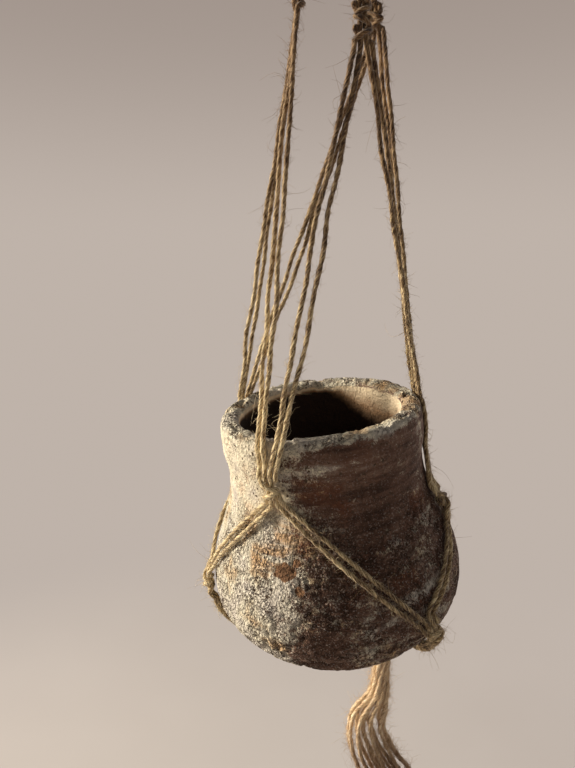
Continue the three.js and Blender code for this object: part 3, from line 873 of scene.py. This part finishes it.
# Where the pot stands: its base and the turn of its axis, from the CAD pot and its joint
def pot_frame():
    turn = next(joint for joint in frame["joints"] if joint["name"] == "pot_turn")
    axis = Vector(turn["axis"]).normalized()
    middle = Vector(turn["pos_m"])
    low = min((vert.co - middle).dot(axis) for vert in frame["nodes"]["clay_pot"].data.vertices)
    return middle + axis * low, UP.rotation_difference(axis)


# Pot outline from the base's middle, up the outside, over the lip and down to the inside's middle
def pot_outline():
    outside = [Vector((FOOT_RADIUS, 0, 0))]
    for degrees in range(2, 91, 2):
        z = BELLY_HEIGHT * (1 - math.cos(math.radians(degrees)))
        outside.append(Vector((outer_radius(z), 0, z)))
    for index in range(1, WALL_STEPS + 1):
        z = BELLY_HEIGHT + (POT_HEIGHT - BELLY_HEIGHT) * math.sin(math.pi / 2 * index / WALL_STEPS)
        outside.append(Vector((outer_radius(z), 0, z)))
    mouth = MOUTH_RADIUS + MOUTH_ROUND
    for degrees in range(0, 91, 15):
        angle = math.radians(degrees)
        drop = MOUTH_ROUND * (1 - math.cos(angle))
        outside.append(Vector((mouth - MOUTH_ROUND * math.sin(angle), 0, POT_HEIGHT - drop)))
    inside = [Vector((MOUTH_RADIUS, 0, POT_HEIGHT - MOUTH_ROUND)), Vector((MOUTH_RADIUS, 0, COLLAR_HEIGHT))]
    for index in range(1, INNER_STEPS):
        z = COLLAR_HEIGHT + (BELLY_HEIGHT - COLLAR_HEIGHT) * index / INNER_STEPS
        inside.append(Vector((outer_radius(z) - WALL, 0, z)))
    for degrees in range(0, 91, 10):
        angle = math.radians(degrees)
        reach = FLOOR_RADIUS + (BELLY_RADIUS - WALL - FLOOR_RADIUS) * math.cos(angle)
        inside.append(Vector((reach, 0, BELLY_HEIGHT - (BELLY_HEIGHT - FLOOR) * math.sin(angle))))
    base = even([Vector(), Vector((FOOT_RADIUS, 0, 0))], INSIDE_STEP)
    ground = even([inside[-1], Vector((0, 0, FLOOR))], INSIDE_STEP)
    return base[:-1] + even(outside, OUTSIDE_STEP)[:-1] + even(inside, INSIDE_STEP)[:-1] + ground


# How far clay lies below the CAD wall, and how high it stands in the relief, from 0 to 1
def clay_relief(place, grit):
    clumps = smooth_step(noise.noise(place / CLUMP_WIDTH), -0.05, 0.5)
    clumps *= 1 - smooth_step(place.z, *CLUMP_FADE)
    bulge = to_share(noise.noise(place / BULGE_WIDTH))
    rings = to_share(noise.noise(Vector((place.x / RING_RUN, place.y / RING_RUN, place.z / RING_PITCH))))
    cracks = smooth_step(noise.fractal(place / CRACK_WIDTH, 0.8, 2.0, 2), 0.05, 0.65)
    lumps = to_share(noise.fractal(place / LUMP_WIDTH, 1.0, 2.0, 3))
    holes = smooth_step(noise.noise(place / HOLE_WIDTH), 0.36, 0.62)
    crust = max(grit - SMOOTH_GRIT, 0) / (1 - SMOOTH_GRIT)
    rough = crust * (0.60 * cracks + 0.40 * (1 - lumps)) + (0.2 + 0.8 * crust) * 0.6 * holes
    depth = BULGE_DEPTH * bulge + RING_DEPTH * rings * (1 - 0.6 * crust)
    depth += CRUST_DEPTH * rough + CLUMP_DEPTH * clumps - PROUD
    return depth, 1 - min(rough + 0.7 * clumps, 1)


# How much a place on the pot faces an azimuth, from 0 to 1
def facing(azimuth, target, low, high):
    return smooth_step(math.cos(math.radians(azimuth - target)), low, high)


def clay_wash(place, azimuth, around, rim):
    # Painted light: the wash is paler on the side that faces the low sun
    lit_wash_side = facing(azimuth, WASH_LIT_AZIMUTH, 0.20, 0.86)
    # Less wash in a patch low on the front, so that the clay is darker there
    patch_distance = math.hypot(math.radians(azimuth - DARK_PATCH_AZIMUTH) * around, place.z - DARK_PATCH_HEIGHT)
    dark_patch = 1 - smooth_step(patch_distance, *DARK_PATCH_REACH)
    # Painted shade: less wash on the front of the collar, on the side away from the light
    front = facing(azimuth, FRONT_AZIMUTH, 0.55, 0.85) * (1 - lit_wash_side) * (1 - rim)
    front_wash_shade = front * smooth_step(place.z, *FRONT_SHADE_RISE)
    # Painted light: the wash is paler near the foot, for light bounced up from the floor
    foot = 1 - smooth_step(place.z, *FOOT_BOUNCE_FADE)
    # On the lip's top the wash is paler: partly its own pale wash, partly a painted highlight
    return 0.30 + 0.50 * lit_wash_side + 0.40 * rim - 0.45 * dark_patch - 0.09 * front_wash_shade + 0.08 * foot


# How much of a patch a place on the clay shows, from 0 to 1
def patch_share(place, azimuth, around, patches, edge):
    share = 0
    for spot, height, size in patches:
        across = math.radians((azimuth - spot + 180) % 360 - 180) * around
        away = math.hypot(across, PATCH_SQUASH * (place.z - height))
        away += edge.ragged * size * noise.noise(place / edge.width)
        share = max(share, 1 - smooth_step(away, edge.core * size, edge.rim * size))
    return share


# How far clay lies below the CAD wall, and what it shows there
def clay_surface(place, outside):
    around = math.hypot(place.x, place.y)
    azimuth = math.degrees(math.atan2(place.y, place.x))
    rim = smooth_step(place.z, *RIM_RISE)
    grit = max(1 - 0.62 * smooth_step(place.z, *GRIT_FADE), 0.95 * rim) if outside else SMOOTH_GRIT
    depth, relief = clay_relief(place, grit)
    wash = clay_wash(place, azimuth, around, rim)
    if outside:
        bare = patch_share(place, azimuth, around, BARE_PATCHES, BARE_EDGE)
        rust = patch_share(place, azimuth, around, RUST_PATCHES, RUST_EDGE)
        return depth, (relief, wash, bare, rust, grit, 0)
    # Painted shade: the lining is darker on the side away from the light, and darker with depth into the
    # mouth
    shaded = 1 - facing(azimuth, LINING_LIT_AZIMUTH, -0.1, 0.6)
    inside = min(0.08 + (POT_HEIGHT - place.z) / LINING_SHADE_DEPTH + 0.38 * shaded, 1)
    return depth, (relief, wash, 0, 0, grit, inside)


# The lip is uneven and chipped: how far it lies below its highest level
def lip_drop(place):
    heading = Vector((place.x, place.y, 0)).normalized()
    wave = to_share(noise.noise(heading * 2.2))
    chips = smooth_step(noise.noise(Vector((place.x, place.y, 0.02)) / CHIP_WIDTH), 0.12, 0.5)
    return (LIP_WAVE * wave + CHIP_DEPTH * chips) * smooth_step(place.z, *LIP_RISE)


def revolved(bm, axis, steps):
    bmesh.ops.spin(
        bm, geom=bm.verts[:] + bm.edges[:], cent=(0, 0, 0), axis=axis, angle=FULL_TURN,
        steps=steps, use_merge=True,
    )
    bmesh.ops.remove_doubles(bm, verts=bm.verts, dist=MERGE)
    bmesh.ops.recalc_face_normals(bm, faces=bm.faces)


def make_pot():
    bm = bmesh.new()
    verts = [bm.verts.new(point) for point in pot_outline()]
    for pair in zip(verts, verts[1:]):
        bm.edges.new(pair)
    revolved(bm, UP, steps=POT_TURNS)
    layers = [bm.verts.layers.float.new(name) for name in CLAY_LOOKS]
    bm.normal_update()
    moves = []
    for vert in bm.verts:
        place = vert.co
        around = math.hypot(place.x, place.y)
        on_lip = place.z > POT_HEIGHT - 1.2 * MOUTH_ROUND
        outside = on_lip or around > outer_radius(place.z) - 0.5 * WALL or place.z < 0.5 * FLOOR
        depth, looks = clay_surface(place, outside)
        for layer, value in zip(layers, looks):
            vert[layer] = value
        moves.append((vert, vert.normal * -depth - UP * lip_drop(place)))
    for vert, move in moves:
        vert.co += move
    bm.transform(Matrix.Translation(pot_base) @ pot_turn.to_matrix().to_4x4())
    dress(mesh_object("washed_pot", bm), "pot", clay_material(), "clay", "clay_pot")


def make_ring():
    low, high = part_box("hang_ring")
    wire = (high.y - low.y) / 2
    radius = (high.x - low.x) / 2 - wire
    bm = bmesh.new()
    bmesh.ops.create_circle(bm, radius=wire, segments=20)
    bmesh.ops.translate(bm, verts=bm.verts, vec=(radius, 0, 0))
    revolved(bm, (0, 1, 0), steps=96)
    bmesh.ops.translate(bm, verts=bm.verts, vec=(low + high) / 2)
    dress(mesh_object("wire_ring", bm), "ring", steel_material(), "ring_steel", "hang_ring")


# Tassel: each yarn's way is as in the part's source
def tassel_ways():
    low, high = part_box("tassel_neck")
    foot = (low + high) / 2
    foot.z = low.z - SEAT_GAP
    inner = YARN_PITCH / math.sqrt(3)
    outer = inner + YARN_PITCH
    places = []
    for count, radius in ((TASSEL_INNER, inner), (TASSEL_OUTER, outer)):
        for index in range(count):
            angle = FULL_TURN * index / count
            places.append(Vector((radius * math.cos(angle), radius * math.sin(angle), 0)))
    ways = []
    for place in places:
        share = (outer - place.x) / (2 * outer)
        way = []
        for index, (left, right) in enumerate(zip(TASSEL_LEFT, TASSEL_RIGHT)):
            across = place.x + right[0] + (left[0] - right[0]) * share
            rise = right[1] + (left[1] - right[1]) * share
            spread = 1 + index / len(TASSEL_LEFT)
            way.append(foot + Vector((across, place.y * spread, rise)))
        ways.append(way)
    return ways


# The lower end of a tassel yarn stands off its own way
def splayed(points):
    aside = Vector((dice.uniform(-1, 1), dice.uniform(-1, 1), 0)) * SPLAY
    last = len(points) - 1
    return [point + aside * smooth_step(index / last, 0.3, 1.4) for index, point in enumerate(points)]


def make_tassel_yarns():
    for index, guide in enumerate(tassel_ways()):
        name = f"tassel_yarn_{index + 1}"
        way = drifted(eased(even(guide), rounds=60), amount=0.0012, spacing=0.03)
        way = drifted(way, amount=0.0007, spacing=0.013)
        way = splayed(way[:len(way) - dice.randrange(UNEVEN_CUT)])
        piece = spun(name + "_jute", [way], "tassel", name)


# Neck of the tassel: the same twelve yarns, drawn in a little halfway
def make_neck():
    low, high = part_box("tassel_neck")
    middle = (low + high) / 2
    ways = []
    for guide in tassel_ways():
        off = guide[0] - middle
        way = []
        for share in (0, 0.2, 0.5, 0.8, 1):
            z = high.z + (low.z - LAP - high.z) * share
            pull = 1 - NECK_PULL * math.sin(math.pi * share) ** 2
            turn = Matrix.Rotation(NECK_TWIST * (1 - share), 3, "Z")
            place = turn @ Vector((off.x, off.y, 0)) * pull
            way.append(Vector((middle.x + place.x, middle.y + place.y, z)))
        ways.append(laid(way, rounds=30, drift=0.0003))
    spun("tassel_neck_jute", ways, "tassel", "tassel_neck")


# Gathering knot: yarn wound aslant in a ball over the gathered ends
def make_gathering_knot():
    low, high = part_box("gathering_knot")
    centre = (low + high) / 2
    ball = (high.z - low.z) / 2 - 0.55 * YARN
    first, second = (math.radians(degrees) for degrees in BALL_SLANT)
    slant = Matrix.Rotation(first, 3, "X") @ Matrix.Rotation(second, 3, "Y")
    way = []
    steps = BALL_TURNS * BALL_STEPS
    for index in range(steps + 1):
        share = index / steps
        tilt = math.radians(BALL_POLE + (180 - 2 * BALL_POLE) * share)
        angle = FULL_TURN * BALL_TURNS * share
        place = Vector((math.sin(tilt) * math.cos(angle), math.sin(tilt) * math.sin(angle), math.cos(tilt)))
        way.append(centre + slant @ place * ball)
    spun("gathering_knot_jute", [laid(way, rounds=4, drift=0.0004)], "net", "gathering_knot")
    bm = bmesh.new()
    bmesh.ops.create_icosphere(bm, subdivisions=4, radius=ball - 0.15 * YARN)
    bmesh.ops.translate(bm, verts=bm.verts, vec=centre)
    dress(mesh_object("gathering_knot_heart", bm), "hanger", jute["jute_yarn"], "jute")


def make_folded_cords():
    ends = []
    for number in range(1, FOLDED_CORDS + 1):
        name = f"folded_cord_{number}"
        points = cad_way(name)
        ends.extend((points[0], points[-1]))
        spun(name + "_jute", [laid(points, rounds=8, drift=0.0003)], "top", name)
    wound = laid(cad_way("top_whipping"), rounds=3, drift=0.0002)
    spun("top_whipping_jute", [wound], "top", "top_whipping")
    return ends


# Square knots: two working yarns that cross before and behind two fillers, half a knot at a time
def square_knots(tops, bottoms, outward, halves):
    top = mean(tops)
    bottom = mean(bottoms)
    up = (top - bottom).normalized()
    out = (outward - up * outward.dot(up)).normalized()
    right = up.cross(out)
    tops = sorted(tops, key=lambda point: (point - top).dot(right))
    bottoms = sorted(bottoms, key=lambda point: (point - bottom).dot(right))
    height = (top - bottom).length / halves
    before = []
    behind = []
    for half in range(halves):
        side = 1 if half % 2 == 0 else -1
        for down, across, forward in CROSSING:
            level = top - up * (half + down) * height
            reach = side * across * KNOT_REACH
            before.append(level + right * reach + out * (forward * KNOT_FRONT))
            behind.append(level - right * (reach * BACK_REACH) - out * (forward * KNOT_BACK))
    inset = up * (FILLER_INSET * (top - bottom).length)
    lap = up * LAP
    ways = [
        [tops[0] + lap, tops[0]] + before[1:] + [bottoms[0], bottoms[0] - lap],
        [tops[3] + lap, tops[3]] + behind[1:] + [bottoms[3], bottoms[3] - lap],
    ]
    for index, side in ((1, -1), (2, 1)):
        filler = right * side * FILLER_REACH
        ways.append([
            tops[index] + lap, tops[index], top - inset + filler, bottom + inset + filler,
            bottoms[index], bottoms[index] - lap,
        ])
    return [laid(way, rounds=5, drift=0.00015) for way in ways]


def nearest(points, place):
    return sorted(points, key=lambda point: (point - place).length)[:KNOT_YARNS]


def node_middle(name):
    low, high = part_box(name)
    return (low + high) / 2


def make_leg_knots(cord_ends, leg_starts):
    for leg in LEGS:
        name = f"{leg}_leg_knots"
        middle = node_middle(name)
        tops = nearest(cord_ends, middle + UP * COLUMN_HALF_LENGTH)
        outward = Vector((middle.x, middle.y, 0))
        spun(name + "_jute", square_knots(tops, leg_starts[leg], outward, COLUMN_HALVES), "leg", name)


# Leg yarns hang with more drift above the lip than where they lie on the clay
def make_leg_yarns():
    starts = {leg: [] for leg in LEGS}
    ends = []
    lip_level = (pot_base + pot_axis * POT_HEIGHT).z
    for leg, knot in LEG_PAIRS:
        for name, points, shift in pair_yarns(f"{leg}_leg_to_{knot}"):
            starts[leg].append(points[0])
            ends.append(points[-1])
            way = laid(points, rounds=14, drift=0.0003)
            way = drifted(way, amount=0.0015, spacing=0.024, rest=lip_level)
            spun(name + "_jute", [parted(way, shift, lip_level)], "leg", name)
    return starts, ends


def make_net_yarns():
    starts = []
    ends = []
    for upper, lower in NET_PAIRS:
        for name, points, shift in pair_yarns(f"net_{upper}_to_{lower}"):
            starts.append(points[0])
            ends.append(points[-1])
            way = laid(points, rounds=10, drift=0.0003)
            spun(name + "_jute", [parted(way, shift * NET_PARTING)], "net", name)
    return starts, ends


# The four ways of a sling's yarns, side by side at its knot and drawn into a bundle further on
def sling_columns(rings, heart):
    middles = [mean(ring) for ring in rings]
    columns = [[] for _ in range(KNOT_YARNS)]
    across = Vector()
    passed = 0
    for index, (ring, middle) in enumerate(zip(rings, middles)):
        spread = np.cov(np.array([tuple(point) for point in ring]).T)
        widest = Vector(np.linalg.eigh(spread)[1][:, -1])
        across = -widest if widest.dot(across) < 0 else widest
        before = middles[max(index - 1, 0)]
        after = middles[min(index + 1, len(rings) - 1)]
        out = (after - before).cross(across).normalized()
        if out.dot(middle - heart) < 0:
            out = -out
        passed += (middle - before).length
        drawn = smooth_step(passed, DRAWN_FROM, DRAWN_TO)
        for number, column in enumerate(columns):
            flat = (number - 1.5) * YARN
            stacked = (number // 2 - 0.5) * BUNDLE_WIDTH * YARN
            rise = (number % 2) * BUNDLE_RISE * YARN * drawn
            column.append(middle + across * (flat + (stacked - flat) * drawn) + out * rise)
    return columns


def make_slings():
    starts = []
    heart = pot_base + pot_axis * BELLY_HEIGHT
    gathered = node_middle("gathering_knot")
    for knot in LOWER_KNOTS:
        name = f"{knot}_sling"
        columns = sling_columns(cad_rings(name, SLING_SIDES), heart)
        starts.extend(column[0] for column in columns)
        for column in columns:
            column.append(column[-1].lerp(gathered, SUNK_SHARE))
        spun(name + "_jute", [laid(column, rounds=12, drift=0.0003) for column in columns], "net", name)
    return starts


def make_net_knots(leg_ends, net_starts, net_ends, sling_starts):
    for kind, names, above, below in (
        ("upper", UPPER_KNOTS, leg_ends, net_starts), ("lower", LOWER_KNOTS, net_ends, sling_starts),
    ):
        for knot in names:
            name = f"{knot}_{kind}_knot"
            middle = node_middle(name)
            height = (middle - pot_base).dot(pot_axis)
            outward = middle - (pot_base + pot_axis * height)
            ways = square_knots(nearest(above, middle), nearest(below, middle), outward, NET_HALVES)
            spun(name + "_jute", ways, "net", name)


# Stray fibres stand off the yarns, each one a fine bent hair that stays off the clay
def inside_clay(point):
    local = from_pot(point)
    around = math.hypot(local.x, local.y)
    if not -LIP_GAP < local.z < POT_HEIGHT + LIP_GAP:
        return False
    return around < outer_radius(local.z) + HAIR_GAP and around > MOUTH_RADIUS - MOUTH_GAP


def scatter():
    return Vector([dice.gauss(0, 1) for _ in range(3)])


def make_hair(way, kind):
    index = dice.randrange(1, len(way) - 1)
    along = (way[index + 1] - way[index - 1]).normalized()
    about = scatter()
    off = (about - along * about.dot(along)).normalized()
    if dice.random() < WISP_SHARE:
        length = dice.uniform(*WISP_LENGTH)
        count = 6
    else:
        length = min(SHORTEST_HAIR + dice.expovariate(1 / kind.hair_length), LONGEST_HAIR)
        count = 3 if length > BENT_HAIR else 2
    lean = along * dice.choice((-1, 1)) * dice.uniform(*HAIR_LEAN)
    lean += off * dice.uniform(LEAST_STAND_OFF, kind.stand_off)
    lean.normalize()
    curl = scatter() * 0.4
    sway = lean.cross(curl) * 0.7
    root = way[index] + off * (HAIR_ROOT * YARN * kind.fullness)
    hair = []
    for step in range(count + 1):
        share = step / count
        bend = curl * share ** 2 + sway * math.sin(SWAY_PACE * share) * share
        hair.append(root + (lean * share + bend) * length)
    return hair


# The tassel swings: no hair of the net reaches into its path, and none of its own rises past its neck
def frayed(region):
    kind = REGIONS[region]
    name = region + "_fuzz"
    data = bpy.data.curves.new(name, "CURVE")
    data.dimensions = "3D"
    data.bevel_depth = HAIR_RADIUS
    data.bevel_resolution = 0
    lowest = node_middle("gathering_knot").z if region == "net" else GROUND
    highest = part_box("tassel_neck")[1].z if region == "tassel" else 0
    for way in strands[region]:
        for _ in range(round(kind.hairs * YARN_STEP * len(way))):
            hair = make_hair(way, kind)
            if any(inside_clay(point) or not lowest < point.z < highest for point in hair[1:]):
                continue
            spline = data.splines.new("POLY")
            spline.points.add(len(hair) - 1)
            for step, (point, place) in enumerate(zip(spline.points, hair)):
                point.co = (*place, 1)
                point.radius = 1 - HAIR_TAPER * step / (len(hair) - 1)
    dress(curve_piece(name, data), kind.body, jute[kind.hair], "jute")


strands = {region: [] for region in REGIONS}
pot_base, pot_turn = pot_frame()
pot_axis = pot_turn @ UP
section = make_section()
fibre_group = jute_group()
jute = {name: jute_material(name, fibre_group, *look) for name, look in JUTE_LOOKS.items()}

make_camera()
make_tassel_yarns()
make_neck()
make_pot()
make_ring()
cord_ends = make_folded_cords()
leg_starts, leg_ends = make_leg_yarns()
make_leg_knots(cord_ends, leg_starts)
net_starts, net_ends = make_net_yarns()
sling_starts = make_slings()
make_net_knots(leg_ends, net_starts, net_ends, sling_starts)
make_gathering_knot()
bpy.data.objects.remove(section)
for region in REGIONS:
    frayed(region)
make_lights()
make_world()
make_floor()

bpy.context.scene.view_settings.view_transform = "Standard"
